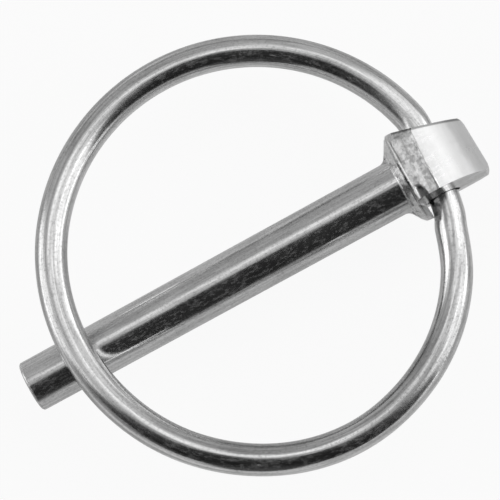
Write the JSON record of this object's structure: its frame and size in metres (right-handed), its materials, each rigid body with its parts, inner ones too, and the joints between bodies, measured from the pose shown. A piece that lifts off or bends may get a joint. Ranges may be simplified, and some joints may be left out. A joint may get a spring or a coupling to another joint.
{
  "type": "lynch pin",
  "caption": "Quick-release lynch pin: a round plated steel shank with a forged D-shaped head and a sprung wire ring that swings over and closes against the shank.",
  "frame": {"origin": "on the shank's axis, where the parallel shank ends and the flare under the head begins", "axes": "+X along the shank towards the head, -X towards the tip, +Z the side of the shank on which the ring lies closed, +Y the trimmed side of the head"},
  "size_m": [0.057, 0.0498, 0.0126],
  "materials": {
    "plated_forging": "bright zinc plate over forged and drawn steel",
    "plated_wire": "bright zinc plate over spring wire"
  },
  "bodies": {
    "pin": {"forged_pin": "plated_forging"},
    "ring": {"spring_ring": "plated_wire"}
  },
  "joints": [
    {"name": "ring_hinge", "type": "hinge", "parent": "pin", "child": "ring", "pos_m": [0.00531, 0.00057, 0], "axis": [0.1132, 0.9936, 0], "range_deg": [-0.7, 346.8]}
  ]
}
